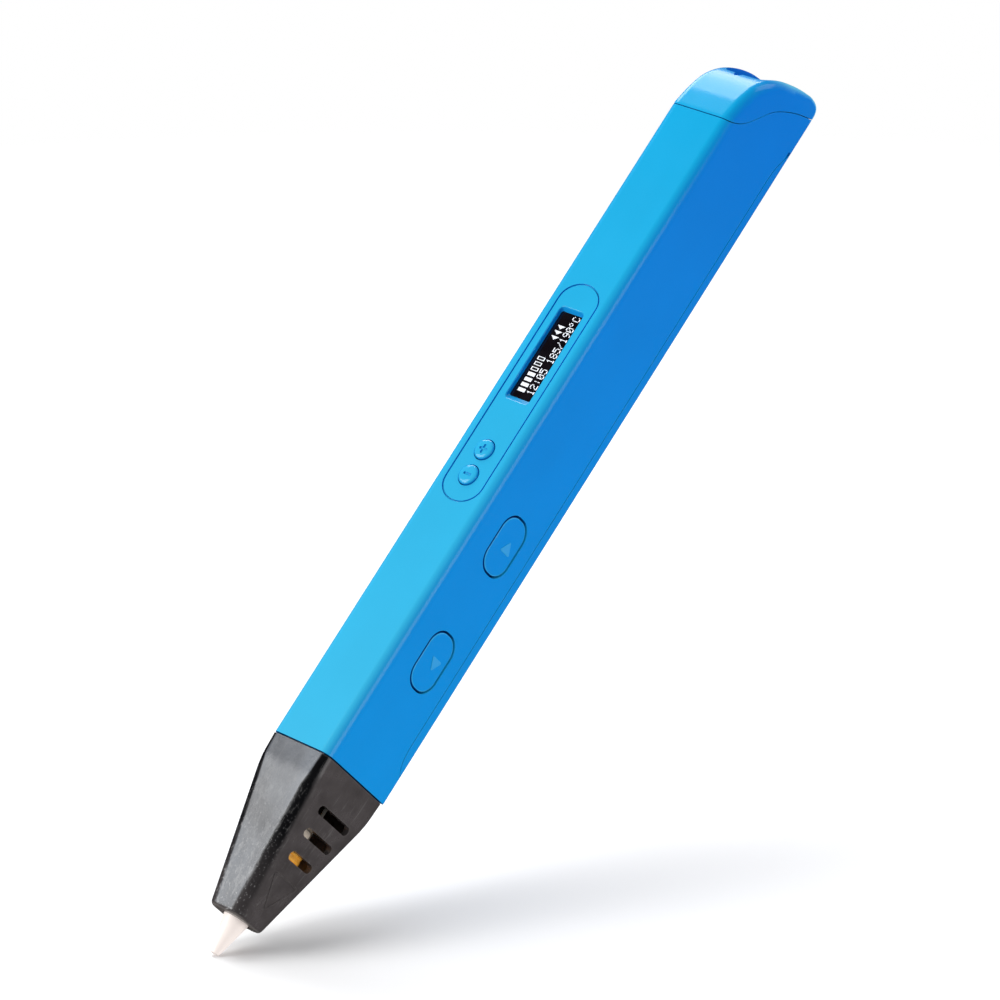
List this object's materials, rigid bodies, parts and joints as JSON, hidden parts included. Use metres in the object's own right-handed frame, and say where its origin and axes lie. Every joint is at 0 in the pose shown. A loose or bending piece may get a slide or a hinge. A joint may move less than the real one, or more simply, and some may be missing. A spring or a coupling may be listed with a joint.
{
  "type": "handheld 3d printing pen",
  "caption": "Slim rectangular filament drawing pen with a tapered vented nozzle cover, side feed keys, a small display panel and a rounded end cap.",
  "frame": {"origin": "on the flat rear cover, under the middle of the pen's length", "axes": "+X from the nozzle to the end cap, +Z out of the display face, the feed and retract buttons on the -Y side"},
  "size_m": [0.185, 0.0142, 0.0202],
  "materials": {
    "blue_shell": "fine satin moulded plastic, slightly soft sheen",
    "blue_key": "satin moulded plastic, a little smoother than the shell",
    "black_cover": "moulded heat-resistant plastic, scuffed, faint sheen",
    "nozzle_ceramic": "unglazed white ceramic",
    "screen": "glossy black display window",
    "heater_tape": "amber polyimide tape, glossy, translucent",
    "insulator": "matt fibre and ceramic insulation",
    "steel": "turned stainless steel",
    "brass": "machined brass",
    "natural_plastic": "natural moulded nylon",
    "clear_tube": "milky fluoropolymer tube",
    "dark_plastic": "black moulded plastic",
    "circuit_board": "green solder mask",
    "bare_metal": "drawn metal can",
    "red_insulation": "silicone wire insulation",
    "white_insulation": "glass-fibre wire sleeve",
    "ribbon_film": "flexible printed circuit film"
  },
  "bodies": {
    "pen_body": {"main_housing": "blue_shell", "rear_cover": "blue_shell", "end_cap": "blue_shell", "control_panel": "blue_shell", "nozzle_cover": "black_cover", "screen_window": "screen", "display_module": "dark_plastic", "ceramic_nozzle": "nozzle_ceramic", "nozzle_holder": "brass", "melt_tube": "steel", "heater_sleeve": "heater_tape", "insulator_collar": "insulator", "clamp_washer": "steel", "heat_break": "steel", "hot_end_bulkhead": "dark_plastic", "thermistor": "insulator", "thermistor_lead": "white_insulation", "heater_wire_a": "red_insulation", "heater_wire_b": "dark_plastic", "ptfe_tube": "clear_tube", "inlet_guide_tube": "clear_tube", "feed_chassis": "natural_plastic", "motor_can": "bare_metal", "gearbox": "brass", "idler_pivot_pin": "steel", "idler_spring": "steel", "main_board": "circuit_board", "side_board": "circuit_board", "processor_chip": "dark_plastic", "capacitor": "dark_plastic", "minus_switch": "dark_plastic", "plus_switch": "dark_plastic", "feed_switch": "dark_plastic", "retract_switch": "dark_plastic", "power_jack": "dark_plastic", "motor_wire_a": "red_insulation", "motor_wire_b": "dark_plastic", "display_ribbon": "ribbon_film", "board_screw_front": "steel", "board_screw_rear": "steel", "chassis_screw_front": "steel", "chassis_screw_rear": "steel"},
    "minus_key": {"button_minus": "blue_key"},
    "plus_key": {"button_plus": "blue_key"},
    "feed_key": {"feed_button": "blue_key"},
    "retract_key": {"retract_button": "blue_key"},
    "minus_contact": {"minus_plunger": "natural_plastic"},
    "plus_contact": {"plus_plunger": "natural_plastic"},
    "feed_contact": {"feed_plunger": "natural_plastic"},
    "retract_contact": {"retract_plunger": "natural_plastic"},
    "motor_output": {"worm_shaft": "steel"},
    "feed_roller_set": {"feed_axle": "steel", "worm_wheel": "brass", "drive_roller": "steel"},
    "idler_lever": {"idler_arm": "natural_plastic", "idler_pin": "steel"},
    "idler_wheel": {"idler_bearing": "steel"}
  },
  "joints": [
    {"name": "minus_press", "type": "slide", "parent": "pen_body", "child": "minus_key", "axis": [0, 0, -1], "range_m": [0, 0.0004]},
    {"name": "minus_plunger_travel", "type": "slide", "parent": "pen_body", "child": "minus_contact", "axis": [0, 0, -1], "range_m": [0, 0.0004]},
    {"name": "plus_press", "type": "slide", "parent": "pen_body", "child": "plus_key", "axis": [0, 0, -1], "range_m": [0, 0.0004]},
    {"name": "plus_plunger_travel", "type": "slide", "parent": "pen_body", "child": "plus_contact", "axis": [0, 0, -1], "range_m": [0, 0.0004]},
    {"name": "feed_press", "type": "slide", "parent": "pen_body", "child": "feed_key", "axis": [0, 1, 0], "range_m": [0, 0.0004]},
    {"name": "feed_plunger_travel", "type": "slide", "parent": "pen_body", "child": "feed_contact", "axis": [0, 1, 0], "range_m": [0, 0.0004]},
    {"name": "retract_press", "type": "slide", "parent": "pen_body", "child": "retract_key", "axis": [0, 1, 0], "range_m": [0, 0.0004]},
    {"name": "retract_plunger_travel", "type": "slide", "parent": "pen_body", "child": "retract_contact", "axis": [0, 1, 0], "range_m": [0, 0.0004]},
    {"name": "motor_spin", "type": "hinge", "parent": "pen_body", "child": "motor_output", "pos_m": [0.0085, -0.0024, 0.00945], "axis": [1, 0, 0], "continuous": true},
    {"name": "feed_roller_spin", "type": "hinge", "parent": "pen_body", "child": "feed_roller_set", "pos_m": [0.0085, 0, 0.0057], "axis": [0, 1, 0], "continuous": true},
    {"name": "idler_swing", "type": "hinge", "parent": "pen_body", "child": "idler_lever", "pos_m": [0.017, 0.0029, 0.0119], "axis": [0, 1, 0], "range_deg": [0, 3], "deforming": ["idler_spring"]},
    {"name": "idler_spin", "type": "hinge", "parent": "idler_lever", "child": "idler_wheel", "pos_m": [0.0085, 0.0029, 0.0116], "axis": [0, 1, 0], "continuous": true}
  ],
  "couplings": [
    {"joint": "minus_plunger_travel", "follows": "minus_press", "ratio": 1},
    {"joint": "plus_plunger_travel", "follows": "plus_press", "ratio": 1},
    {"joint": "feed_plunger_travel", "follows": "feed_press", "ratio": 1},
    {"joint": "retract_plunger_travel", "follows": "retract_press", "ratio": 1},
    {"joint": "feed_roller_spin", "follows": "motor_spin", "ratio": -0.0625},
    {"joint": "idler_spin", "follows": "motor_spin", "ratio": 0.086806}
  ]
}
